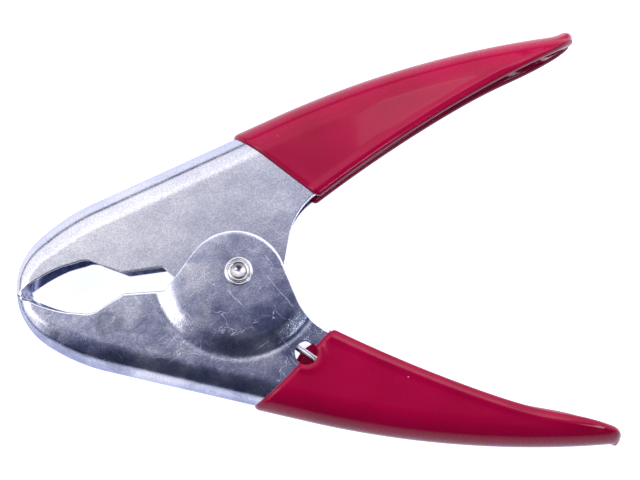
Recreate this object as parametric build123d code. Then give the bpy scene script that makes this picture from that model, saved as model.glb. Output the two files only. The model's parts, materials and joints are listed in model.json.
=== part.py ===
"""Spring clip: two stamped channel levers crossed on a hollow rivet, sprung shut, vinyl grips.

Millimetres. The clip lies on its side. +X runs from the jaws to the handles, +Z is the pivot
axis and points to the rolled end of the rivet. Z = 0 is the flat face of the rivet head.
"""

import os

from build123d import *

# sheet and channel
SHEET = 1.2
WIDTH = 19.0
BEND_TIP = 2.6
BEND_BACK = 8.5
EAR_CLEARANCE = 0.1

# line of the back, seen from the side: nose, brow, straight shank, curved handle
TIP_X = -59.2
NOSE_START = 0.5
NOSE_RADIUS = 18.5
NOSE_TURN = 51.0
BROW_RADIUS = 48.0
BROW_TURN = 19.8
SHANK_LENGTH = 55.2
HANDLE_RADIUS = 281.0
HANDLE_TURN = 18.9

# ear round the pivot
EAR_RADIUS = 13.6
EAR_CENTRE = (-1.2, 2.6)
DISH_FLAT = 17.8
DISH_FOOT = 22.2

# teeth across the nose
TEETH = 3
TOOTH_HEIGHT = 1.4
TOOTH_GAP = 0.3

# hole in the lower lever
HOLE_DIAMETER = 6.2
HOLE_AT = (15.7, -23.5)

# rivet
SHANK_DIAMETER = 5.6
RUNNING_CLEARANCE = 0.06
BORE_DIAMETER = 4.1
BORE_DEPTH = 1.4
CUP_RISE = 0.8
ROLL_DIAMETER = 7.7
ROLL_HEIGHT = 1.3
HEAD_DIAMETER = 10.0
HEAD_FLAT = 6.5
HEAD_HEIGHT = 1.6

# torsion spring
WIRE = 1.8
COIL_RADIUS = 7.5
COIL_PITCH = 2.1
COIL_TURNS = 4
LEG_ANGLE = 41.0
LEG_REACH = 57.0

# dipped vinyl
FILM = 1.0
FILM_INSIDE = 0.8
PLUG_LENGTH = 7.0
PLUG_DEPTH = 6.0
FILM_REACH = 3.0
DIP_AT_BACK = (0.0, 37.5)
DIP_AT_EDGE = (23.3, 17.6)

CHEEK = WIDTH / 2
EAR_OUT = CHEEK + EAR_CLEARANCE + SHEET
MIDDLE = EAR_OUT + HEAD_HEIGHT
METAL_END = 98.0
METAL_CORNER = 5.5
ZINC = (0.66, 0.68, 0.74)
STEEL = (0.55, 0.56, 0.60)
VINYL = (0.67, 0.0, 0.18)
FAR = 150.0
LEG_TRIM = 2.0


def back_line(inset):
    """The five tangent pieces of the back, moved inward by inset."""
    tip = Line((TIP_X + inset, -3), (TIP_X + inset, NOSE_START))
    nose = JernArc(tip @ 1, tip % 1, NOSE_RADIUS - inset, -NOSE_TURN)
    brow = JernArc(nose @ 1, nose % 1, BROW_RADIUS - inset, -BROW_TURN)
    shank = Line(brow @ 1, brow @ 1 + (brow % 1) * SHANK_LENGTH)
    handle = JernArc(shank @ 1, shank % 1, HANDLE_RADIUS - inset, -HANDLE_TURN)
    return tip, nose, brow, shank, handle


def channel(outside, inside):
    """Round-backed channel along the back, between two distances from the sheet's outer face."""
    tip, nose, brow, shank, handle = back_line(0)
    # piece of the back, place along it, depth of the section, bend radius
    stations = [
        (tip, 0.0, 12.0, BEND_TIP),
        (nose, 0.0, 12.0, BEND_TIP),
        (nose, 0.33, 12.0, BEND_TIP + 0.3),
        (nose, 0.67, 12.0, BEND_TIP + 0.9),
        (nose, 1.0, 13.0, BEND_TIP + 1.8),
        (brow, 0.5, 21.0, BEND_TIP + 2.9),
        (brow, 1.0, 30.0, BEND_TIP + 4.2),
        (shank, 0.2, 38.0, BEND_BACK - 0.6),
        (shank, 0.4, 45.0, BEND_BACK),
        (shank, 0.6, 50.0, BEND_BACK),
        (shank, 0.8, 52.0, BEND_BACK),
        (shank, 1.0, 50.0, BEND_BACK),
    ]
    for k in range(1, 8):
        stations.append((handle, k / 7, 50.0 - 3.5 * k, BEND_BACK))
    sections = []
    for piece, at, depth, bend in stations:
        layers = []
        for inset in (outside, inside):
            box = Rectangle(WIDTH - 2 * inset, depth, align=(Align.CENTER, Align.MAX))
            corners = box.vertices().group_by(Axis.Y)[-1]
            layers.append(Pos(0, -inset) * fillet(corners, max(bend - inset, 0.2)))
        wall = layers[0] - layers[1] - Pos(0, -depth) * Rectangle(FAR, 2 * LEG_TRIM)
        along = piece % at
        frame = Plane(origin=piece @ at, x_dir=(0, 0, 1), z_dir=(-along.X, -along.Y, 0))
        sections.append(frame * wall)
    return loft(sections)


def side_outline(lift=0.0, reach=0.0):
    """What is kept of the upper lever, seen from the side.

    lift lowers the open edge of the handle and reach lengthens its end, for the vinyl.
    """
    jaw = Spline((-57.9, 0.9), (-52.9, 3.6), (-47.6, 5.7), (-42.5, 6.7))
    bulge = ThreePointArc((-42.5, 6.7), (-39.9, 7.0), (-37.3, 6.0))
    throat = Polyline((-37.3, 6.0), (-30.7, 2.7), (-20.0, 3.1), (-11.3, -6.5))
    ear_low = (EAR_CENTRE[0], EAR_CENTRE[1] - EAR_RADIUS)
    ear = ThreePointArc((-11.3, -6.5), ear_low, (11.9, -1.0))
    neck = Line((11.9, -1.0), (14.5, 8.0))
    shoulder = TangentArc((14.5, 8.0), (23.0, 18.7), tangent=neck % 1)
    drop = Line((23.0, 18.7), (23.0, 18.7 - lift)) if lift else None
    edge_end = (97.0 + reach, 54.5 - 0.5 * lift)
    edge = ThreePointArc((23.0, 18.7 - lift), (61.0, 39.4 - lift), edge_end)
    end = Line(edge_end, (99.0 + reach, 59.5))
    above = Polyline((99.0 + reach, 59.5), (FAR, FAR), (-FAR, FAR), (-FAR, -4))
    below = Polyline((-FAR, -4), (-57.9, -4), (-57.9, 0.9))
    lines = [jaw, bulge, throat, ear, neck, shoulder, drop, edge, end, above, below]
    return make_face([line for line in lines if line])


def across(face):
    """A side view face pushed through the whole width."""
    return extrude(face, WIDTH, both=True)


def tooth_block(base, shift):
    """Block along X between a zigzag that crosses the nose and the height base."""
    pitch = WIDTH / TEETH
    points = []
    for k in range(2 * TEETH + 1):
        height = TOOTH_HEIGHT / 2 if k % 2 else -TOOTH_HEIGHT / 2
        points.append((height + shift, k * pitch / 2 - CHEEK))
    corners = [(base, -CHEEK), *points, (base, CHEEK)]
    zigzag = Plane.YZ * make_face(Polyline(*corners, close=True))
    return Pos(TIP_X - 4, 0, 0) * extrude(zigzag, 8)


def dish_profile():
    """Section of the raised ear, from the pivot axis out to the cheek."""
    top = Spline((DISH_FLAT, EAR_OUT), (DISH_FOOT, CHEEK), tangents=((1, 0), (1, -0.7)))
    low = Spline(
        (DISH_FLAT, EAR_OUT - SHEET),
        (DISH_FOOT, CHEEK - SHEET),
        tangents=((1, 0), (1, -0.7)),
    )
    lid = Line((0, EAR_OUT), (DISH_FLAT, EAR_OUT))
    floor = Line((0, EAR_OUT - SHEET), (DISH_FLAT, EAR_OUT - SHEET))
    axis = Line((0, EAR_OUT - SHEET), (0, EAR_OUT))
    foot = Line((DISH_FOOT, CHEEK - SHEET), (DISH_FOOT, CHEEK))
    return Plane.XZ * make_face([lid, top, foot, low, floor, axis])


def make_upper_lever(blank):
    pivot = Cylinder(SHANK_DIAMETER / 2 + RUNNING_CLEARANCE, FAR)
    return blank - tooth_block(-20, 0) - pivot


def make_lower_lever(blank):
    dish = revolve(dish_profile(), Axis.Z)
    raised = (dish + mirror(dish, Plane.XY)) & across(side_outline())
    cheeks = Cylinder(DISH_FOOT, WIDTH + 2)
    body = mirror(blank - cheeks + raised, Plane.XZ)
    pivot = Cylinder(SHANK_DIAMETER / 2, FAR)
    hole = Pos(*HOLE_AT) * Cylinder(HOLE_DIAMETER / 2, FAR)
    return body - tooth_block(20, -TOOTH_GAP) - pivot - hole


def make_rivet():
    """Semi-tubular rivet: low head below, shank, rolled end and shallow cupped bore above."""
    shank = SHANK_DIAMETER / 2
    head = HEAD_DIAMETER / 2
    flat = HEAD_FLAT / 2
    bottom = -EAR_OUT - HEAD_HEIGHT
    roll = ROLL_DIAMETER / 2
    bore = BORE_DIAMETER / 2
    top = EAR_OUT
    cup = top - BORE_DEPTH
    outline = [
        Line((0, bottom), (flat, bottom)),
        ThreePointArc((flat, bottom), (0.87 * head, bottom + 0.45), (head, -EAR_OUT - 0.3)),
        Polyline((head, -EAR_OUT - 0.3), (head, -EAR_OUT), (shank, -EAR_OUT), (shank, top)),
        Line((shank, top), (roll - 0.35, top)),
        ThreePointArc((roll - 0.35, top), (roll, top + 0.42), (roll - 0.4, top + 0.85)),
        Line((roll - 0.4, top + 0.85), (shank + 0.3, top + 0.6)),
        ThreePointArc((shank + 0.3, top + 0.6), (bore + 0.4, top + ROLL_HEIGHT), (bore, top + 0.7)),
        Line((bore, top + 0.7), (bore, cup + CUP_RISE)),
        TangentArc((0, cup), (bore, cup + CUP_RISE), tangent=(1, 0)),
        Line((0, cup), (0, bottom)),
    ]
    return revolve(Plane.XZ * make_face(outline), Axis.Z)


def make_spring_half():
    """The half of the spring whose leg lies in the upper handle; it ends level with Z = 0."""
    start = 90 + LEG_ANGLE
    turned = COIL_TURNS * 180 + 180 - start
    rise = COIL_PITCH * turned / 360
    path = Helix(COIL_PITCH, rise, COIL_RADIUS)
    ring = Plane(origin=path @ 0, z_dir=path % 0) * Circle(WIRE / 2)
    coil = Pos(0, 0, -rise) * Rot(0, 0, start) * sweep(ring, path)
    knee = Pos(0, 0, -rise) * Rot(0, 0, start) * Pos(COIL_RADIUS, 0, 0)
    ahead = knee * Rot(90, 0, 0)
    leg = ahead * Cylinder(WIRE / 2, LEG_REACH, align=(Align.CENTER, Align.CENTER, Align.MIN))
    ball = Sphere(WIRE / 2)
    tip = ahead * Pos(0, 0, LEG_REACH) * ball
    return coil + leg + knee * ball + tip


def handle_end(reach, corner):
    """Block that holds everything up to a handle end with rounded corners."""
    width = WIDTH + 2 * FILM
    block = Box(2 * FAR, 2 * FAR, width, align=(Align.MAX, Align.CENTER, Align.CENTER))
    ends = (Pos(reach, 0, 0) * block).edges().filter_by(Axis.Y).group_by(Axis.X)[-1]
    return fillet(ends, corner)


def dipped_side():
    """Block that holds the dipped part of a handle."""
    run = Vector(*DIP_AT_EDGE) - Vector(*DIP_AT_BACK)
    high = Vector(*DIP_AT_BACK) - run * 0.5
    low = Vector(*DIP_AT_EDGE) + run * 0.2
    corners = (high, low, (FAR, low.Y), (FAR, FAR), (high.X, FAR))
    return across(make_face(Polyline(*corners, close=True)))


def make_grip(metal):
    """Vinyl on the upper handle, with the sheet taken out of it."""
    coat = channel(-FILM, SHEET + FILM_INSIDE)
    edge = across(side_outline(FILM, FILM_REACH))
    coat = coat & edge & dipped_side()
    plug = channel(-FILM, PLUG_DEPTH) & edge
    plug = plug - Pos(METAL_END - PLUG_LENGTH, 0, 0) * Box(
        2 * FAR, 2 * FAR, FAR, align=(Align.MAX, Align.CENTER, Align.CENTER)
    )
    skin = (coat + plug) & handle_end(METAL_END + FILM_REACH, METAL_CORNER + FILM)
    return skin - metal


def place(name, shape, colour):
    shape = Pos(0, 0, MIDDLE) * shape
    shape.label = name
    shape.color = Color(*colour)
    export_step(shape, f"parts/{name}.step")


def main():
    os.makedirs("parts", exist_ok=True)
    blank = channel(0, SHEET) & across(side_outline()) & handle_end(METAL_END, METAL_CORNER)
    upper_lever = make_upper_lever(blank)
    lower_lever = make_lower_lever(blank)
    half = make_spring_half()
    grip = make_grip(blank)
    lower_grip = mirror(grip, Plane.XZ)
    place("upper_lever", upper_lever, ZINC)
    place("lower_lever", lower_lever, ZINC)
    place("rivet", make_rivet(), ZINC)
    place("spring_upper_half", half, STEEL)
    place("spring_lower_half", Rot(180, 0, 0) * half, STEEL)
    place("upper_grip", grip, VINYL)
    place("lower_grip", lower_grip, VINYL)


main()
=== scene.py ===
"""Looks of the spring clip: plated levers, dipped grips, rivet, spring, floor, light and camera."""

import json
import math

import bmesh
import bpy
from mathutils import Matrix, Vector, noise


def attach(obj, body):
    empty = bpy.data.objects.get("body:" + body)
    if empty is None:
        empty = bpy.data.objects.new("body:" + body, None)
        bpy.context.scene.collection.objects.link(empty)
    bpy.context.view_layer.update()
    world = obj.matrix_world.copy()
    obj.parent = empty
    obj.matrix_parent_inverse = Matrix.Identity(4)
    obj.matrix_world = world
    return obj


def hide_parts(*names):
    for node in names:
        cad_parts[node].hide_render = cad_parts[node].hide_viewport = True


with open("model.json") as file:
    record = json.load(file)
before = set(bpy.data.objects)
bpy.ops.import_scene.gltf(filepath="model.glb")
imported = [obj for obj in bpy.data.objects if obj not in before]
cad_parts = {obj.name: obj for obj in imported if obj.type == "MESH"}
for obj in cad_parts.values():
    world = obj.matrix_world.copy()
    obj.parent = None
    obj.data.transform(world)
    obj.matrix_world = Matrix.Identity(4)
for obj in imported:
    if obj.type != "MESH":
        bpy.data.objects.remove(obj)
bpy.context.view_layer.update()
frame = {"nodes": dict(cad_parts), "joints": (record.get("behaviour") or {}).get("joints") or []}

# sizes are in millimetres, the sheet's, back's and holes' as in the CAD; a mesh is made in metres
MM = 0.001
SAME_PLACE = 0.0005 * MM
# height of the middle of the channel on the pivot's axis
MIDDLE = frame["joints"][0]["pos_m"][2] / MM

# sheet of the levers: thickness, half the channel's width, chamfer inside and roll outside its cut edge
SHEET = 1.2
HALF = 9.5
CUT = 0.14
EDGE_ROUND = 0.42
# depth of a cheek where the nose has no open edge yet, and the least that any cheek is deeper than the sheet
NOSE_DEPTH = 1.6
LEAST_EDGE = 0.3
# distance along the back, depth and width of the bend there; the last holds for the rest
BEND_STOPS = (
    (0.0, 3.4, 2.9),
    (5.0, 4.0, 3.3),
    (9.5, 5.2, 4.6),
    (14.0, 6.4, 6.2),
    (18.0, 7.2, 7.4),
    (24.0, 7.6, 8.2),
    (31.0, 7.8, 8.5),
    (43.0, 7.8, 8.6),
)
# a shallow cheek bends over this share of its depth
BEND_SHARE = 0.85

# teeth across the nose
TIP_X = -59.2
TEETH = 3
TOOTH_HEIGHT = 1.4
TOOTH_GAP = 0.3
TOOTH_REACH = 2.5

# raised ears of the lower lever: radii from the pivot, fold and the groove pressed round its foot
EAR_STEP = 1.3
EAR_DOME = 0.34
DISH_FLAT = 17.8
DISH_FOOT = 22.2
DISH_CREASE = 1.5
GROOVE_DEPTH = 0.09
GROOVE_AFTER = 0.7
GROOVE_SPREAD = 0.5

# holes, the cross hole's place is given for the lower lever
PIVOT_HOLE = {"upper_lever": 2.86, "lower_lever": 2.8}
HOLE_AT = (15.7, -23.5)
HOLE_RADIUS = 3.1

# handle end of the sheet
METAL_END = 98.0
METAL_CORNER = 5.5

# vinyl film, which starts just under the metal's surface and is full after its rounded lip
FILM = 1.0
FILM_INSIDE = 0.8
START_UNDER = 0.04
LIP = 1.3
# the dip line runs aslant, so a step along the back is this share of a step away from the line
LIP_SLANT = 0.87
# bead along the channel's edges: cover over the metal, swelling, its middle, spread and share inside
EDGE_COVER = 0.35
BEAD_SWELL = 0.28
BEAD_BEHIND = 0.9
BEAD_SPREAD = 1.0
INSIDE_SWELL = 0.4
# the channel of a handle is filled with vinyl from here to its tip
FILL_FROM = 87.0
FILL_RUN = 7.0
FILL_OVER = 0.2
# the dip line is straight, from a point on each handle's back to one on its open edge
DIP_BACK = {"upper_grip": (2.2, 37.5), "lower_grip": (0.0, 37.5)}
DIP_EDGE = (23.3, 17.6)
# distances along the back between which a column of points crosses it
DIP_SEARCH = (45.0, 112.0)
HALVINGS = 24
# vinyl that hung down while it set: depth under the edge, less on the near cheek and more on the far one
DRIP = {"upper_grip": (0.6, 0.3), "lower_grip": (1.7, 0.0)}
DRIP_BEFORE = 9.0
DRIP_SPREAD = 13.0
# drop on the back of a tip: how far before the end its middle is, and its spread
TIP_DROP = {"upper_grip": (1.4, 2.8), "lower_grip": (0.9, 1.0)}
DROP_WIDTH = 3.0
# how far along X each grip ends
GRIP_END = {"upper_grip": 100.2, "lower_grip": 99.3}
# a tip closes on a line at this share of its depth, and keeps a share of its width there
TIP_CENTRE = {"upper_grip": 0.42, "lower_grip": 0.3}
TIP_ROUND = 2.6
TIP_KEEPS = 0.4
ALMOST_ALL = 0.999
# the vinyl's rounded corners end past the metal's, and its depth stays the same so close to the end
CORNER_PAST = 2.6
STEADY_DEPTH = 2.0
# slow waves of the film, the ridge round the cross hole and how far the far cheek's film creeps round it
WAVES = 0.11
WAVE_HEIGHT = 0.05
WAVE_FROM = 2.0
WAVE_SHIFT = {"upper_grip": 0.0, "lower_grip": 7.0}
RIDGE_FROM = 0.3
RIDGE_HEIGHT = 0.3
RIDGE_RADIUS = 4.3
RIDGE_SPREAD = 0.9
CREEP = 3.4

# how finely the meshes are divided
ROUND_SIDES = 96
FLAT_STEPS = 8
ARC_STEPS = 18
CHEEK_STEPS = 52
PROFILE = FLAT_STEPS + ARC_STEPS + CHEEK_STEPS
EDGE_DEGREES = (30, 60, 90)
EDGE_SHARES = (0.62, 1 - CUT / SHEET)
FINE_STEP = 0.42
COARSE_STEP = 1.2
COARSE_FROM = 92.0
BEAD_STEPS = 10
GRIP_COLUMNS = 2 * (PROFILE + 1) + BEAD_STEPS - 1
LIP_STEPS = (0.0, 0.03, 0.09, 0.18, 0.32, 0.5, 0.72, 1.0, 1.3, 1.7, 2.2, 2.8, 3.5)
BODY_ROWS = 84
TIP_ROWS = 10
SHARP_METAL = 35.0
SHARP_VINYL = 50.0
SHARP_RIVET = 40.0


# ---------------------------------------------------------------- curves


def bulge(value, centre, width):
    """Bell curve of height 1 round a centre."""
    return math.exp(-(((value - centre) / width) ** 2))


def ease(value):
    """Smooth step from 0 to 1."""
    value = min(max(value, 0.0), 1.0)
    return value * value * (3 - 2 * value)


def between(before, start, end, after, t):
    """Catmull-Rom value at a share t of the way from start to end."""
    slope = end - before
    bend = 2 * before - 5 * start + 4 * end - after
    twist = 3 * start - before - 3 * end + after
    return 0.5 * (2 * start + slope * t + bend * t * t + twist * t**3)


def curve_through(points, steps):
    """Catmull-Rom points through a few given ones."""
    out = []
    for i in range(len(points) - 1):
        four = (points[max(i - 1, 0)], points[i], points[i + 1], points[min(i + 2, len(points) - 1)])
        for k in range(steps):
            out.append(tuple(between(*values, k / steps) for values in zip(*four)))
    out.append(points[-1])
    return out


def arc_through(p0, p1, p2, steps):
    """Points of the circular arc through three points."""
    ax, ay = p0
    bx, by = p1
    cx, cy = p2
    d = 2 * (ax * (by - cy) + bx * (cy - ay) + cx * (ay - by))
    a2, b2, c2 = ax * ax + ay * ay, bx * bx + by * by, cx * cx + cy * cy
    ux = (a2 * (by - cy) + b2 * (cy - ay) + c2 * (ay - by)) / d
    uy = (a2 * (cx - bx) + b2 * (ax - cx) + c2 * (bx - ax)) / d
    radius = math.hypot(ax - ux, ay - uy)
    start = math.atan2(ay - uy, ax - ux)
    middle = math.atan2(by - uy, bx - ux)
    end = math.atan2(cy - uy, cx - ux)
    turn = (end - start) % math.tau
    if (middle - start) % math.tau > turn:
        turn -= math.tau
    points = []
    for k in range(steps + 1):
        angle = start + turn * k / steps
        points.append((ux + radius * math.cos(angle), uy + radius * math.sin(angle)))
    return points


def tangent_arc(p0, p1, heading, steps):
    """Arc from p0 to p1 that leaves p0 along heading."""
    dx, dy = p1[0] - p0[0], p1[1] - p0[1]
    chord = math.hypot(dx, dy)
    nx, ny = -math.sin(heading), math.cos(heading)
    side = nx * dx + ny * dy
    radius = chord * chord / (2 * side)
    reach = abs(radius)
    cx, cy = p0[0] + nx * radius, p0[1] + ny * radius
    half = math.asin(chord / (2 * reach))
    turn = 2 * half * (1 if radius > 0 else -1)
    start = math.atan2(p0[1] - cy, p0[0] - cx)
    points = []
    for k in range(steps + 1):
        angle = start + turn * k / steps
        points.append((cx + reach * math.cos(angle), cy + reach * math.sin(angle)))
    return points


# ---------------------------------------------------------------- outline of a lever


def arc_run(radius, degrees):
    """An arc of the back as its (length, radius)."""
    return radius * math.radians(degrees), radius


# (length, radius) of the runs of the back: tooth line, nose, brow, straight, handle; radius 0 is straight
BACK = (
    (0.5, 0.0),
    arc_run(18.5, 51.0),
    arc_run(48.0, 19.8),
    (55.2, 0.0),
    arc_run(281.0, 18.9),
)
BACK_LENGTH = sum(length for length, radius in BACK)


def back_at(distance):
    """Point on the back and the inward direction there, at a distance from the tooth line."""
    x, y, heading = TIP_X, 0.0, math.pi / 2
    for length, radius in BACK:
        step = min(distance, length)
        if radius:
            cx = x + radius * math.sin(heading)
            cy = y - radius * math.cos(heading)
            heading -= step / radius
            x = cx - radius * math.sin(heading)
            y = cy + radius * math.cos(heading)
        else:
            x += step * math.cos(heading)
            y += step * math.sin(heading)
        distance -= step
        if distance <= 0:
            break
    return (x, y), (math.sin(heading), -math.cos(heading))


def distance_to(x):
    """Distance along the back to a place near the handle end."""
    (x_end, _), _ = back_at(BACK_LENGTH)
    return BACK_LENGTH - (x_end - x)


def open_edge():
    """The sheared edge of a cheek seen from the side, from the nose to the handle end."""
    nose, mouth_top, mouth_end = (-57.9, 0.9), (-42.5, 6.7), (-37.3, 6.0)
    throat, ear_end, neck, brow = (-11.3, -6.5), (11.9, -1.0), (14.5, 8.0), (23.0, 18.7)
    heading = math.atan2(neck[1] - ear_end[1], neck[0] - ear_end[0])
    points = [(nose[0], -4.0), *curve_through([nose, (-52.9, 3.6), (-47.6, 5.7), mouth_top], 10)]
    points += arc_through(mouth_top, (-39.9, 7.0), mouth_end, 10)[1:]
    points += [(-30.7, 2.7), (-20.0, 3.1), throat]
    points += arc_through(throat, (-1.2, -11.0), ear_end, 48)[1:]
    points += tangent_arc(neck, brow, heading, 16)
    points += arc_through(brow, (61.0, 39.4), (97.0, 54.5), 40)[1:]
    points += [(99.5, 55.6), (103.0, 57.0)]
    return points


EDGE = open_edge()
# a crossing counts if it is on the edge, give or take the slack, and not shallower than this
NEARLY_ZERO = 1e-9
SLACK = 1e-6
SHALLOWEST = 0.4


def depth_at(distance):
    """How deep the cheek is, measured inward from the back to its open edge."""
    (x, y), (nx, ny) = back_at(distance)
    depth = None
    for (ax, ay), (bx, by) in zip(EDGE, EDGE[1:]):
        ex, ey = bx - ax, by - ay
        cross = nx * ey - ny * ex
        if abs(cross) < NEARLY_ZERO:
            continue
        t = ((ax - x) * ey - (ay - y) * ex) / cross
        u = ((ax - x) * ny - (ay - y) * nx) / cross
        if -SLACK <= u <= 1 + SLACK and t > SHALLOWEST and (depth is None or t < depth):
            depth = t
    return NOSE_DEPTH if depth is None else depth


def side_point(distance, depth):
    """Side view place of a point at a depth under the back."""
    (x, y), (nx, ny) = back_at(distance)
    return x + nx * depth, y + ny * depth


# ---------------------------------------------------------------- section of the channel


def bend_at(distance):
    """Depth and width of the elliptical bend between the back and the cheeks."""
    for (d0, *low), (d1, *high) in zip(BEND_STOPS, BEND_STOPS[1:]):
        if distance <= d1:
            t = max((distance - d0) / (d1 - d0), 0.0)
            return tuple(a + (b - a) * t for a, b in zip(low, high))
    return BEND_STOPS[-1][1:]


def width_at(depth, offset, bend):
    """Half width of the channel at a depth, on the surface offset inward from the outside."""
    deep, wide = bend
    rise = max(deep - depth, 0.0) / (deep - offset)
    return HALF - wide + (wide - offset) * math.sqrt(max(1 - rise * rise, 0.0))


def profile(offset, depth, bend):
    """(depth, half width) pairs from the middle of the back to the edge of one cheek."""
    deep, wide = bend
    flat = HALF - wide
    turn_depth = min(deep, offset + BEND_SHARE * (depth - offset))
    turn = math.acos(max(min((deep - turn_depth) / (deep - offset), 1.0), -1.0))
    pairs = [(offset, flat * k / FLAT_STEPS) for k in range(FLAT_STEPS)]
    for k in range(ARC_STEPS):
        angle = turn * k / ARC_STEPS
        side = flat + (wide - offset) * math.sin(angle)
        pairs.append((deep - (deep - offset) * math.cos(angle), side))
    for k in range(CHEEK_STEPS + 1):
        d = turn_depth + (depth - turn_depth) * k / CHEEK_STEPS
        pairs.append((d, width_at(d, offset, bend)))
    return pairs


def sheared_edge(depth, bend):
    """(depth, half width) pairs of a cheek's edge: rolled over outside, crisp inside."""
    pairs = []
    for degrees in EDGE_DEGREES:
        angle = math.radians(degrees)
        d = depth - EDGE_ROUND * (1 - math.sin(angle))
        share = EDGE_ROUND * (1 - math.cos(angle)) / SHEET
        z_out, z_in = width_at(d, 0.0, bend), width_at(d, SHEET, bend)
        pairs.append((d, z_out + (z_in - z_out) * share))
    z_out, z_in = width_at(depth, 0.0, bend), width_at(depth, SHEET, bend)
    for share in EDGE_SHARES:
        pairs.append((depth, z_out + (z_in - z_out) * share))
    return pairs


def end_squeeze(x, end, corner):
    """Share of the width left near a handle end with rounded corners."""
    inside = x - (end - corner)
    if inside <= 0:
        return 1.0
    drop = corner - math.sqrt(max(corner * corner - min(inside, corner) ** 2, 0.0))
    return (HALF - drop) / HALF


# ---------------------------------------------------------------- meshes


def turn_outward(mesh):
    """Merges coinciding points of a closed mesh and makes all faces point outward."""
    work = bmesh.new()
    work.from_mesh(mesh)
    bmesh.ops.remove_doubles(work, verts=work.verts, dist=SAME_PLACE)
    bmesh.ops.dissolve_degenerate(work, edges=work.edges, dist=SAME_PLACE)
    bmesh.ops.recalc_face_normals(work, faces=work.faces)
    work.to_mesh(mesh)
    work.free()


def smooth(mesh, sharp_angle):
    """Smooth shading, with edges over an angle in degrees kept sharp."""
    mesh.shade_smooth()
    mesh.set_sharp_from_angle(angle=math.radians(sharp_angle))


def end_cap(count):
    """Faces that close the first loop of points, from quads across the sheet's thickness.

    The loop runs out along one cheek, back inside it, and the same for the mirrored cheek.
    """
    faces = []
    half = count // 2
    for c in range(half // 2):
        quad = [c, c + 1, half - 1 - c, half - c]
        if quad[1] == quad[2]:
            # the last one may be a triangle
            quad.pop(1)
        faces.append(quad)
        faces.append([(count - i) % count for i in reversed(quad)])
    return faces


def mesh_object(name, rows, sharp_angle, zones=None):
    """Object from rows of closed loops of points, with both ends closed.

    zones gives the material number of each column of faces.
    """
    count = len(rows[0])
    faces = []
    for low in range(0, (len(rows) - 1) * count, count):
        for c in range(count):
            n = (c + 1) % count
            faces.append((low + c, low + n, low + count + n, low + count + c))
    sides = len(faces)
    for base in (0, (len(rows) - 1) * count):
        faces += [[base + i for i in face] for face in end_cap(count)]
    mesh = bpy.data.meshes.new(name)
    mesh.from_pydata([[c * MM for c in point] for row in rows for point in row], [], faces)
    if zones:
        for index in range(sides):
            mesh.polygons[index].material_index = zones[index % count]
    mesh.validate()
    piece = bpy.data.objects.new(name, mesh)
    bpy.context.collection.objects.link(piece)
    turn_outward(mesh)
    smooth(mesh, sharp_angle)
    return piece


def drill(piece, centre, radius, low, high, sharp_angle):
    """Cuts a round hole along Z out of a piece, between two heights."""
    bpy.ops.mesh.primitive_cylinder_add(
        vertices=ROUND_SIDES,
        radius=radius * MM,
        depth=(high - low) * MM,
        location=(centre[0] * MM, centre[1] * MM, (low + high) / 2 * MM),
    )
    tool = bpy.context.object
    cut = piece.modifiers.new("hole", "BOOLEAN")
    cut.operation = "DIFFERENCE"
    cut.solver = "EXACT"
    cut.object = tool
    depsgraph = bpy.context.evaluated_depsgraph_get()
    mesh = bpy.data.meshes.new_from_object(piece.evaluated_get(depsgraph))
    piece.modifiers.clear()
    piece.data = mesh
    bpy.data.objects.remove(tool)
    smooth(mesh, sharp_angle)


# ---------------------------------------------------------------- levers


def zigzag(z):
    """Height of the tooth line at a place across the nose."""
    pitch = 2 * HALF / TEETH
    phase = ((z + HALF) / pitch) % 1.0
    return TOOTH_HEIGHT * (0.5 - abs(2 * phase - 1))


def dish_height(x, y):
    """How far the ear of the lower lever stands out at a place on its cheek."""
    reach = math.hypot(x, y)
    u = (reach - DISH_FLAT) / (DISH_FOOT - DISH_FLAT)
    groove = GROOVE_DEPTH * bulge(reach, DISH_FOOT + GROOVE_AFTER, GROOVE_SPREAD)
    if u >= 1:
        return -groove
    share = reach / DISH_FLAT
    height = EAR_STEP + EAR_DOME * (0.3 - 0.1 * share**2 - share**5)
    if u <= 0:
        return height
    fall = 1 - 3 * u * u + 2 * u**3
    return height * fall - DISH_CREASE * (u**3 - u * u) - groove


def stations(end):
    """Distances along the back from the tooth line, close together up to the handle."""
    out = []
    distance = 0.0
    while distance < end:
        out.append(distance)
        distance += FINE_STEP if distance < COARSE_FROM else COARSE_STEP
    out.append(end)
    return out


def lever_zones():
    """Material number of each column of faces: 0 outside, 1 sheared edge, 2 inside."""
    edge_points = len(EDGE_DEGREES) + len(EDGE_SHARES)
    half = [0] * PROFILE + [1] * (edge_points + 1) + [2] * PROFILE
    return half + half[::-1]


def lever_row(distance, outer):
    """Closed loop of points round the sheet at a distance along the back."""
    bend = bend_at(distance)
    depth = max(depth_at(distance), SHEET + LEAST_EDGE)
    outside = profile(0.0, depth - EDGE_ROUND, bend)
    inside = profile(SHEET, depth - CUT, bend)
    cheek = outside + sheared_edge(depth, bend) + inside[::-1]
    row = []
    for sign, pairs in ((1, cheek), (-1, cheek[-2:0:-1])):
        for d, z in pairs:
            x, y = side_point(distance, d)
            z *= end_squeeze(x, METAL_END, METAL_CORNER)
            if outer and d > bend[0]:
                z += dish_height(x, y)
            z *= sign
            if distance < TOOTH_REACH:
                lift = TOOTH_GAP - zigzag(z) if outer else zigzag(z)
                y += lift * (1 - distance / TOOTH_REACH)
            row.append((x, -y if outer else y, z + MIDDLE))
    return row


def build_lever(name, outer):
    """One stamping. The outer one is the lower lever, mirrored and with raised ears."""
    rows = [lever_row(distance, outer) for distance in stations(distance_to(METAL_END))]
    return mesh_object(name, rows, SHARP_METAL, lever_zones())


# ---------------------------------------------------------------- dipped vinyl


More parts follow.
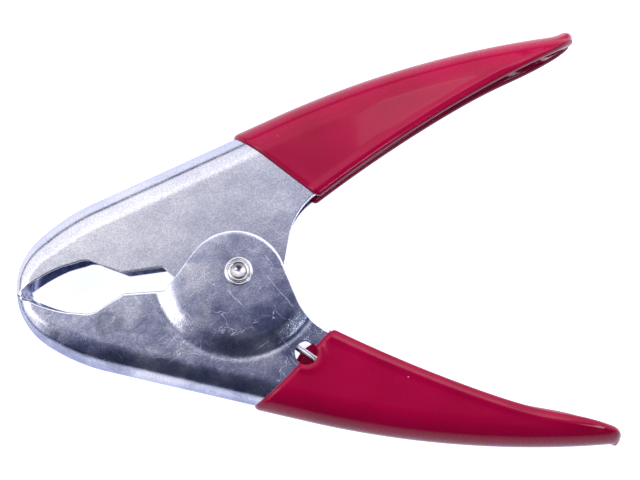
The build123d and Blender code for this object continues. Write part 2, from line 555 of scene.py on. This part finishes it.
def past_dip(x, y, back):
    """How far a point lies past the dip line, toward the handle end."""
    run_x, run_y = DIP_EDGE[0] - back[0], DIP_EDGE[1] - back[1]
    across = (y - back[1]) * run_x - (x - back[0]) * run_y
    return across / math.hypot(run_x, run_y)


def from_hole(x, y):
    """Distance from the cross hole's axis, on the lower handle before it is mirrored."""
    return math.hypot(x - HOLE_AT[0], y + HOLE_AT[1])


def grip_section(distance, lip, end, drip):
    """Half of the vinyl's section: outside, rounded bead and inside, as (depth, half width).

    lip is how far the vinyl is past its dip line, end the distance where the handle ends,
    drip how much deeper than the metal the vinyl hangs.
    """
    bend = bend_at(distance)
    depth = depth_at(min(distance, end - STEADY_DEPTH)) + drip
    rise = math.sqrt(1 - (1 - min(lip / LIP, 1.0)) ** 2)
    film = (FILM + START_UNDER) * rise - START_UNDER
    inside = (FILM_INSIDE + START_UNDER) * rise - START_UNDER
    (x, _), _ = back_at(distance)
    fill = ease((x - FILL_FROM) / FILL_RUN) * (depth - SHEET - inside + FILL_OVER)
    edge = depth - EDGE_COVER
    outer = profile(-film, edge, bend)
    inner = profile(SHEET + inside, edge, bend)

    def swell(d):
        """How far the bead stands out at a depth."""
        return BEAD_SWELL * rise * bulge(d, edge - BEAD_BEHIND, BEAD_SPREAD)

    pairs = [(d, z + swell(d) * (d > bend[0] / 2)) for d, z in outer]
    z_out, z_in = pairs[-1][1], inner[-1][1] - INSIDE_SWELL * swell(edge)
    middle, half = (z_out + z_in) / 2, (z_out - z_in) / 2
    for k in range(1, BEAD_STEPS):
        angle = math.pi * k / BEAD_STEPS
        deeper = (film + EDGE_COVER) * math.sin(angle)
        pairs.append((edge + deeper, middle + half * math.cos(angle)))
    for d, z in reversed(inner):
        z -= INSIDE_SWELL * swell(d) * (d > bend[0] / 2)
        pairs.append((max(d, SHEET + inside + fill), z))
    return pairs


def dip_start(node, column, sign, end):
    """Distance along the back where a column of points crosses the dip line."""
    low, high = DIP_SEARCH
    for _ in range(HALVINGS):
        middle = (low + high) / 2
        d = grip_section(middle, LIP, end, 0.0)[column][0]
        x, y = side_point(middle, d)
        past = past_dip(x, y, DIP_BACK[node])
        if node == "lower_grip" and sign < 0:
            past += bulge(from_hole(x, y), 0, CREEP)
        low, high = (middle, high) if past < 0 else (low, middle)
    return (low + high) / 2


def grip_distance(row, start, end):
    """Distance along the back of a row of points: close rows at the lip and at the tip."""
    if row < len(LIP_STEPS):
        return start + LIP_STEPS[row]
    row -= len(LIP_STEPS)
    if row < BODY_ROWS:
        first = start + LIP_STEPS[-1]
        t = (row + 1) / BODY_ROWS
        return first + (end - TIP_ROUND - first) * t
    row -= BODY_ROWS
    return end - TIP_ROUND * (1 - math.sin(math.pi / 2 * row / (TIP_ROWS - 1)))


# sections that were worked out already, since many points share one
SECTIONS = {}


def grip_point(node, distance, lip, end, column, sign):
    """One vertex of a grip."""
    lower = node == "lower_grip"
    drip, skew = DRIP[node]
    drip = (drip - skew * sign) * (bulge(distance, end - DRIP_BEFORE, DRIP_SPREAD) * min(lip / LIP, 1.0))
    key = (round(distance, 6), round(min(lip, LIP), 6), round(drip, 6))
    if key not in SECTIONS:
        SECTIONS[key] = grip_section(distance, lip, end, drip)
    d, z = SECTIONS[key][column]
    tip = min(max((distance - (end - TIP_ROUND)) / TIP_ROUND, 0.0), ALMOST_ALL)
    keep = math.sqrt(1 - tip**2)
    centre = depth_at(min(distance, end - STEADY_DEPTH)) * TIP_CENTRE[node]
    d = centre + (d - centre) * keep
    x, y = side_point(distance, d)
    corner = end_squeeze(x, METAL_END + CORNER_PAST, METAL_CORNER + FILM)
    z *= corner * (TIP_KEEPS + (1 - TIP_KEEPS) * keep)
    z *= sign
    wave = noise.noise(Vector((x * WAVES, y * WAVES, z * WAVES + WAVE_SHIFT[node])))
    if lip > WAVE_FROM:
        z += sign * WAVE_HEIGHT * wave * min(lip - WAVE_FROM, 1.0)
    if lower and column <= PROFILE and lip > RIDGE_FROM:
        z += sign * RIDGE_HEIGHT * bulge(from_hole(x, y), RIDGE_RADIUS, RIDGE_SPREAD)
    if d < centre:
        before, length = TIP_DROP[node]
        drop = bulge(distance, end - before, length)
        y += drop * bulge(z, 0.0, DROP_WIDTH) if lower else drop
    return x, -y if lower else y, z + MIDDLE


def build_grip(node):
    """Vinyl on one handle. The lower one is mirrored."""
    end = distance_to(GRIP_END[node])
    near = [(c, 1) for c in range(GRIP_COLUMNS)]
    far = [(c, -1) for c in range(GRIP_COLUMNS - 2, 0, -1)]
    loop = [(c, sign, dip_start(node, c, sign, end)) for c, sign in near + far]
    rows = []
    for row in range(len(LIP_STEPS) + BODY_ROWS + TIP_ROWS):
        points = []
        for column, sign, start in loop:
            distance = grip_distance(row, start, end)
            lip = (distance - start) * LIP_SLANT
            points.append(grip_point(node, distance, lip, end, column, sign))
        rows.append(points)
    return mesh_object(node + "_dip", rows, SHARP_VINYL)


# ---------------------------------------------------------------- rivet

SHANK = 2.8
HEAD_FLAT = 3.0
HEAD_TOP = 1.6
# bore, and the bowl that it ends in: how far under the top its rim and its lowest point are
BORE = 2.05
BOWL_RIM = 0.6
BOWL_FLOOR = 1.4
BOWL_DEPTH = 0.8


def oval_arc(centre, reach, first, last):
    """(radius, height) points of an oval arc, every 15 degrees."""
    points = []
    for degrees in range(first, last + 1, 15):
        angle = math.radians(degrees)
        points.append((centre[0] + reach[0] * math.cos(angle), centre[1] + reach[1] * math.sin(angle)))
    return points


def rivet_outline():
    """(radius, height) points of the rivet from the middle of its head up round to its bore."""
    top = MIDDLE + HALF + EAR_STEP
    points = [(0.0, 0.0), (HEAD_FLAT, 0.0), *oval_arc((3.25, 0.9), (1.7, 0.9), -90, 30)]
    points += [(4.8, HEAD_TOP), (SHANK, HEAD_TOP), (SHANK, top), (3.5, top)]
    # rolled end: an outer ring, a fine groove and the inner ring round the bore
    points += oval_arc((3.42, top + 0.43), (0.43, 0.43), -75, 120)
    points += [(3.02, top + 0.62), (2.94, top + 0.6), (2.88, top + 0.74)]
    points += oval_arc((2.48, top + 0.86), (0.4, 0.44), 15, 180)
    points += [(BORE, top + 0.6), (BORE, top - BOWL_RIM)]
    for share in (0.94, 0.86, 0.75, 0.6, 0.45, 0.3, 0.15, 0.0):
        points.append((BORE * share, top - BOWL_FLOOR + BOWL_DEPTH * share**2))
    return points


def build_rivet(name):
    """Semi-tubular rivet turned about the pivot axis."""
    vertices, rows, faces = [], [], []
    for radius, height in rivet_outline():
        row = []
        for k in range(ROUND_SIDES if radius else 1):
            angle = math.tau * k / ROUND_SIDES
            row.append(len(vertices))
            point = (radius * math.cos(angle), radius * math.sin(angle), height)
            vertices.append([c * MM for c in point])
        rows.append(row if radius else row * ROUND_SIDES)
    for low, high in zip(rows, rows[1:]):
        for k in range(ROUND_SIDES):
            n = (k + 1) % ROUND_SIDES
            face = [low[k], low[n], high[n], high[k]]
            faces.append(list(dict.fromkeys(face)))
    mesh = bpy.data.meshes.new(name)
    mesh.from_pydata(vertices, [], faces)
    piece = bpy.data.objects.new(name, mesh)
    bpy.context.collection.objects.link(piece)
    turn_outward(mesh)
    smooth(mesh, SHARP_RIVET)
    return piece


# ---------------------------------------------------------------- shader nodes


def set_input(tree, socket, value):
    """Links another socket to an input, or sets its value."""
    if isinstance(value, bpy.types.NodeSocket):
        tree.links.new(value, socket)
    else:
        socket.default_value = value


def add(tree, kind, inputs=None, **settings):
    """New shader node with its settings and inputs; an input is a value or another socket."""
    node = tree.nodes.new(kind)
    for key, value in settings.items():
        setattr(node, key, value)
    for key, value in (inputs or {}).items():
        set_input(tree, node.inputs[key], value)
    return node


def new_material(name):
    """New material, with its node tree, its shader and the object's own coordinates."""
    material = bpy.data.materials.new(name)
    material.use_nodes = True
    tree = material.node_tree
    place = tree.nodes.new("ShaderNodeTexCoord").outputs["Object"]
    return material, tree, tree.nodes["Principled BSDF"], place


def speckle(tree, place, scale, detail=2.0, rough=0.5, distort=0.0):
    """Noise between 0 and 1, scale in features per metre."""
    inputs = {"Vector": place, "Scale": scale, "Detail": detail, "Roughness": rough}
    inputs["Distortion"] = distort
    return add(tree, "ShaderNodeTexNoise", inputs).outputs["Fac"]


def spread(tree, value, low, high, start=0.0, stop=1.0):
    """Maps low..high to start..stop, clamped."""
    inputs = {"Value": value, "From Min": low, "From Max": high, "To Min": start, "To Max": stop}
    return add(tree, "ShaderNodeMapRange", inputs).outputs["Result"]


# places of the colour sockets among all those of a Mix node
MIX_SHARE, MIX_FIRST, MIX_SECOND, MIX_RESULT = 0, 6, 7, 2


def blend(tree, share, first, second, mode="MIX"):
    """Mixes two colours; share is how much the second counts."""
    node = add(tree, "ShaderNodeMix", {MIX_SHARE: share}, data_type="RGBA", blend_type=mode)
    for index, colour in ((MIX_FIRST, first), (MIX_SECOND, second)):
        set_input(tree, node.inputs[index], (*colour, 1) if isinstance(colour, tuple) else colour)
    return node.outputs[MIX_RESULT]


def combine(tree, operation, first, second):
    """Result of a math operation on two values or sockets."""
    return add(tree, "ShaderNodeMath", {0: first, 1: second}, operation=operation).outputs[0]


def raised(tree, height, distance, under=None):
    """Normal of a surface raised by up to a distance in metres, on top of another normal."""
    inputs = {"Height": height, "Distance": distance, "Strength": 1.0}
    if under:
        inputs["Normal"] = under
    return add(tree, "ShaderNodeBump", inputs).outputs["Normal"]


def scribbles(tree, place, cells, width, patches, level):
    """Thin wandering scratch lines, broken into short runs by a patchy mask."""
    wander = add(tree, "ShaderNodeTexNoise", {"Vector": place, "Scale": cells * 2.3, "Detail": 3.0})
    inputs = {0: wander.outputs["Color"], 1: [0.9 / cells] * 3, 2: place}
    shift = add(tree, "ShaderNodeVectorMath", inputs, operation="MULTIPLY_ADD")
    inputs = {"Vector": shift.outputs[0], "Scale": cells}
    net = add(tree, "ShaderNodeTexVoronoi", inputs, feature="DISTANCE_TO_EDGE")
    line = spread(tree, net.outputs["Distance"], 0.0, width, 1.0, 0.0)
    mask = spread(tree, speckle(tree, place, patches, 2.0), level, level + 0.08)
    return combine(tree, "MULTIPLY", line, mask)


def hairlines(tree, place, angle, across, level):
    """Straight fine scratches that run at an angle in the cheek's plane."""
    turn = add(tree, "ShaderNodeMapping", {"Vector": place, "Rotation": (0.0, 0.0, math.radians(angle))})
    inputs = {"Vector": turn.outputs[0], "Scale": (0.08, 1.0, 0.3)}
    squeeze = add(tree, "ShaderNodeMapping", inputs)
    lines = speckle(tree, squeeze.outputs[0], across, 1.0)
    return spread(tree, lines, level, level + 0.06)


# ---------------------------------------------------------------- materials

# dark bluish tone, blended in as painted shade toward the handle and to darken the nose
DARKENED_AND_SHADED_ZINC = (0.30, 0.32, 0.45)
PALE_SMUDGE = (0.86, 0.84, 0.80)
DARK_SMUDGE = (0.14, 0.15, 0.20)
SCRATCH = (0.93, 0.94, 0.99)


def zinc_colour(tree, place, patch, cloud, grain, pale, deep, stain):
    """Smoky patches and smudges, painted shade toward the handle, darker at the nose, with a fine grain."""
    colour = blend(tree, spread(tree, patch, 0.36, 0.64), deep, pale)
    colour = blend(tree, spread(tree, cloud, 0.42, 0.62, 0.0, 0.35), colour, pale)
    smudge = speckle(tree, place, 75.0, 5.0, 0.62, 0.6)
    colour = blend(tree, spread(tree, smudge, 0.53, 0.60, 0.0, stain), colour, PALE_SMUDGE)
    colour = blend(tree, spread(tree, smudge, 0.46, 0.38, 0.0, stain), colour, DARK_SMUDGE)
    along = add(tree, "ShaderNodeSeparateXYZ", {"Vector": place}).outputs["X"]
    # painted shade: the plate turns half way to the dark bluish tone toward the handle end
    colour = blend(tree, spread(tree, along, -0.03, 0.022, 0.0, 0.5), colour, DARKENED_AND_SHADED_ZINC)
    # the nose is darkened by as much as the stain setting
    colour = blend(tree, spread(tree, along, -0.034, -0.046, 0.0, stain), colour, DARKENED_AND_SHADED_ZINC)
    return blend(tree, 1.0, colour, spread(tree, grain, 0.42, 0.62, 0.82, 1.06), "MULTIPLY")


def zinc_scratches(tree, place, wear):
    """Scribbled scratches and two directions of faint straight ones."""
    marks = scribbles(tree, place, 150.0, 0.011, 90.0, 0.52)
    for angle, across, level in ((57.0, 1500.0, 0.70), (-28.0, 1100.0, 0.71)):
        faint = combine(tree, "MULTIPLY", hairlines(tree, place, angle, across, level), 0.4)
        marks = combine(tree, "MAXIMUM", marks, faint)
    return combine(tree, "MULTIPLY", marks, wear)


def zinc_material(name, pale, deep, wear, dent, stain):
    """Bright zinc plate: fine grain, smoky patches, scribbled scratches, waves from the press."""
    material, tree, shader, place = new_material(name)
    grain = speckle(tree, place, 2400.0, 3.0, 0.6)
    patch = speckle(tree, place, 150.0, 6.0, 0.68, 0.3)
    cloud = speckle(tree, place, 42.0, 3.0, 0.5)
    colour = zinc_colour(tree, place, patch, cloud, grain, pale, deep, stain)
    marks = zinc_scratches(tree, place, wear)
    tree.links.new(blend(tree, marks, colour, SCRATCH), shader.inputs["Base Color"])
    scraped = combine(tree, "MULTIPLY", marks, 0.3)
    rough = combine(tree, "ADD", spread(tree, patch, 0.3, 0.7, 0.13, 0.24), scraped)
    tree.links.new(rough, shader.inputs["Roughness"])
    shader.inputs["Metallic"].default_value = 1.0
    shader.inputs["Specular Tint"].default_value = (0.72, 0.75, 0.93, 1)
    waves = raised(tree, cloud, 0.00012)
    dents = raised(tree, patch, dent, waves)
    tree.links.new(raised(tree, grain, 0.000012, dents), shader.inputs["Normal"])
    return material


def vinyl_material(name):
    """Glossy dipped vinyl: slow waves, darker and lighter patches, dust in the skin."""
    material, tree, shader, place = new_material(name)
    patch = spread(tree, speckle(tree, place, 60.0, 3.0), 0.35, 0.65)
    colour = blend(tree, patch, (0.19, 0.0002, 0.021), (0.225, 0.0003, 0.026))
    dust = add(tree, "ShaderNodeTexVoronoi", {"Vector": place, "Scale": 230.0})
    dot = spread(tree, dust.outputs["Distance"], 0.035, 0.055, 1.0, 0.0)
    rare = spread(tree, speckle(tree, place, 90.0, 1.0), 0.56, 0.60)
    dot = combine(tree, "MULTIPLY", dot, rare)
    colour = blend(tree, combine(tree, "MULTIPLY", dot, 0.65), colour, (0.85, 0.32, 0.36))
    tree.links.new(colour, shader.inputs["Base Color"])
    skin = speckle(tree, place, 1500.0, 2.0)
    tree.links.new(spread(tree, skin, 0.3, 0.7, 0.2, 0.3), shader.inputs["Roughness"])
    shader.inputs["Specular IOR Level"].default_value = 0.05
    shader.inputs["Coat Weight"].default_value = 0.28
    shader.inputs["Coat Roughness"].default_value = 0.06
    slow = raised(tree, speckle(tree, place, 70.0, 2.0), 0.00025)
    tree.links.new(raised(tree, skin, 0.000006, slow), shader.inputs["Normal"])
    return material


def bright_metal(name, pale, deep, rough, grain_scale):
    """Plated small part: bright, with slight stains and fine turning or drawing marks."""
    material, tree, shader, place = new_material(name)
    stain = speckle(tree, place, 600.0, 4.0, 0.6)
    colour = blend(tree, spread(tree, stain, 0.38, 0.62), deep, pale)
    tree.links.new(colour, shader.inputs["Base Color"])
    tree.links.new(spread(tree, stain, 0.3, 0.7, rough, rough + 0.12), shader.inputs["Roughness"])
    shader.inputs["Metallic"].default_value = 1.0
    grain = speckle(tree, place, grain_scale, 2.0)
    tree.links.new(raised(tree, grain, 0.000008), shader.inputs["Normal"])
    return material


UPPER_ZINC = zinc_material(
    "zinc_plate_upper", (0.71, 0.71, 0.73), (0.62, 0.62, 0.67), wear=0.2, dent=0.000016, stain=0.05
)
# the lower lever's copy is darker and bluer: partly its heavier smudges and wear, partly painted shade
LOWER_ZINC_SHADED = zinc_material(
    "zinc_plate_lower_shaded", (0.60, 0.61, 0.68), (0.33, 0.35, 0.45), wear=0.65, dent=0.00006, stain=0.45
)
VINYL = vinyl_material("red_vinyl")
# the cut edges: bare steel made nearly white, partly a painted highlight along the rims
EDGE_METAL = bright_metal("sheared_edge", (0.95, 0.95, 0.99), (0.80, 0.80, 0.86), 0.28, 3000.0)
# the channel's inside is the same plate, given a dark bluish colour as painted shade
INNER_ZINC_SHADED = bright_metal("zinc_plate_inside_shaded", (0.34, 0.38, 0.56), (0.20, 0.23, 0.38), 0.25, 2400.0)
RIVET_METAL = bright_metal("rivet_nickel", (0.70, 0.69, 0.68), (0.50, 0.49, 0.50), 0.16, 3500.0)
SPRING_METAL = bright_metal("spring_steel_wire", (0.90, 0.90, 0.92), (0.7, 0.7, 0.73), 0.3, 2500.0)

# ---------------------------------------------------------------- pieces

THROUGH = (MIDDLE - 20, MIDDLE + 20)
NEAR_CHEEK = (MIDDLE + 2, MIDDLE + 20)

LEVERS = (
    ("upper_lever", "upper", False, (UPPER_ZINC, EDGE_METAL, INNER_ZINC_SHADED)),
    ("lower_lever", "lower", True, (LOWER_ZINC_SHADED, EDGE_METAL, INNER_ZINC_SHADED)),
)
for node, body, outer, metals in LEVERS:
    piece = build_lever(node + "_stamping", outer)
    for metal in metals:
        piece.data.materials.append(metal)
    drill(piece, (0.0, 0.0), PIVOT_HOLE[node], *THROUGH, SHARP_METAL)
    if outer:
        drill(piece, HOLE_AT, HOLE_RADIUS, *THROUGH, SHARP_METAL)
    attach(piece, body)
    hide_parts(node)

for node, body in (("upper_grip", "upper"), ("lower_grip", "lower")):
    piece = build_grip(node)
    piece.data.materials.append(VINYL)
    if node == "lower_grip":
        drill(piece, HOLE_AT, HOLE_RADIUS, *NEAR_CHEEK, SHARP_VINYL)
    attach(piece, body)
    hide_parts(node)

piece = build_rivet("rivet_turned")
piece.data.materials.append(RIVET_METAL)
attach(piece, "lower")
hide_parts("rivet")

for node in ("spring_upper_half", "spring_lower_half"):
    slots = frame["nodes"][node].data.materials
    slots.clear()
    slots.append(SPRING_METAL)

# ---------------------------------------------------------------- floor, light, camera

# levels of the lean toward the bright side of the tent, from away to toward, and the light there
SKY = (
    (0.0, (0.05, 0.06, 0.11)),
    (0.385, (0.05, 0.06, 0.11)),
    (0.485, (0.16, 0.175, 0.32)),
    (0.52, (0.21, 0.225, 0.37)),
    (0.555, (0.74, 0.74, 0.90)),
    (0.60, (1.20, 1.19, 1.28)),
    (0.65, (1.72, 1.70, 1.78)),
    (0.74, (1.80, 1.78, 1.88)),
    (0.81, (1.55, 1.53, 1.68)),
    (1.0, (1.45, 1.44, 1.60)),
)
FLOOR_GLOW = (0.72, 0.79, 1.10)
FLOOR_SIZE = 3.0
FLOOR_Z = -0.0005
# camera: lens, place in metres and turn in degrees
LENS = 64.24
CAMERA_AT = (0.00274, -0.01811, 0.3271)
CAMERA_TURN = (4.905, -3.196, -6.1)
CENTRE = (0, 0, 0)
WHITE = (1.0, 1.0, 1.0)
# name, location, size, watts, aim, colour, whether it shows in reflections
LIGHTS = (
    ("left", (-0.42, -0.02, 0.46), (0.3, 0.3), 0.95, CENTRE, (1.0, 0.95, 0.86), True),
    ("right", (0.33, -0.33, 0.54), (0.13, 0.13), 0.7, CENTRE, (0.84, 0.90, 1.0), True),
    ("box", (0.27, 0.21, 0.8), (0.29, 0.26), 0.5, (0.27, 0.21, 0), WHITE, True),
    ("soft", (0.14, 0.12, 0.14), (0.1, 0.1), 0.22, (0.09, 0.05, 0.02), WHITE, False),
    ("key", (-0.1, 0.6, 0.42), (0.3, 0.3), 2.5, CENTRE, WHITE, False),
)


def add_floor():
    """Pale sheet lit from inside, like the bottom of a light tent."""
    bpy.ops.mesh.primitive_plane_add(size=FLOOR_SIZE, location=(0, 0, FLOOR_Z))
    floor = bpy.context.object
    floor.name = "floor"
    material, tree, shader, place = new_material("floor_white")
    paper = speckle(tree, place, 400.0, 2.0)
    colour = blend(tree, paper, (0.40, 0.40, 0.42), (0.42, 0.42, 0.44))
    tree.links.new(colour, shader.inputs["Base Color"])
    shader.inputs["Roughness"].default_value = 0.9
    shader.inputs["Specular IOR Level"].default_value = 0.0
    shader.inputs["Emission Color"].default_value = (0.80, 0.83, 1.0, 1)
    rays = tree.nodes.new("ShaderNodeLightPath").outputs
    seen = spread(tree, rays["Is Camera Ray"], 0.0, 1.0, 0.80, 1.08)
    spilt = spread(tree, rays["Is Diffuse Ray"], 0.0, 1.0, 1.0, 0.35)
    tree.links.new(combine(tree, "MULTIPLY", seen, spilt), shader.inputs["Emission Strength"])
    floor.data.materials.append(material)


def add_camera():
    """Camera a third of a metre above the clip, a few degrees off straight down."""
    camera = bpy.data.cameras.new("camera")
    camera.lens = LENS
    camera.clip_start = 0.01
    holder = bpy.data.objects.new("camera", camera)
    holder.location = CAMERA_AT
    holder.rotation_euler = [math.radians(a) for a in CAMERA_TURN]
    bpy.context.collection.objects.link(holder)
    bpy.context.scene.camera = holder


def add_light(name, location, size, power, aim, colour, gloss):
    """Rectangular lamp turned toward a point, hidden from the camera."""
    light = bpy.data.lights.new(name, "AREA")
    light.color = colour
    light.shape = "RECTANGLE"
    light.size, light.size_y = size
    light.energy = power
    holder = bpy.data.objects.new(name, light)
    holder.location = location
    direction = Vector(aim) - Vector(location)
    holder.rotation_euler = direction.to_track_quat("-Z", "Y").to_euler()
    holder.visible_camera = False
    holder.visible_glossy = gloss
    bpy.context.collection.objects.link(holder)


def sky_lean(tree, axes):
    """How far a direction leans toward the tent's bright side: +Y, -X and either end."""
    left = combine(tree, "MAXIMUM", combine(tree, "MULTIPLY", axes["X"], -1.0), 0.0)
    aside = combine(tree, "SUBTRACT", combine(tree, "ABSOLUTE", axes["X"], 0.0), 0.22)
    aside = combine(tree, "MULTIPLY", combine(tree, "MAXIMUM", aside, 0.0), 0.9)
    lean = combine(tree, "ADD", combine(tree, "MULTIPLY", left, 0.6), aside)
    return combine(tree, "ADD", axes["Y"], lean)


def add_world():
    """Tent: bright toward +Y and -X, dim toward -Y, dark line where the walls meet the floor."""
    world = bpy.data.worlds.new("studio")
    bpy.context.scene.world = world
    world.use_nodes = True
    tree = world.node_tree
    way = tree.nodes.new("ShaderNodeTexCoord").outputs["Generated"]
    axes = add(tree, "ShaderNodeSeparateXYZ", {"Vector": way}).outputs
    lean = spread(tree, sky_lean(tree, axes), -1.0, 1.0)
    ramp = add(tree, "ShaderNodeValToRGB", {"Fac": lean})
    ramp.color_ramp.interpolation = "EASE"
    stops = ramp.color_ramp.elements
    while len(stops) > 1:
        stops.remove(stops[-1])
    for index, (level, light) in enumerate(SKY):
        stop = stops.new(level) if index else stops[0]
        stop.position = level
        stop.color = (*light, 1)
    above = spread(tree, axes["Z"], 0.20, 0.27, 0.04, 1.0)
    sky = blend(tree, 1.0, ramp.outputs["Color"], above, "MULTIPLY")
    below = spread(tree, axes["Z"], 0.08, 0.11, 1.0, 0.0)
    background = tree.nodes["Background"].inputs
    tree.links.new(blend(tree, below, sky, FLOOR_GLOW), background["Color"])
    background["Strength"].default_value = 1.0


add_floor()
add_camera()
add_world()
for lamp in LIGHTS:
    add_light(*lamp)
bpy.context.scene.view_settings.view_transform = "Standard"
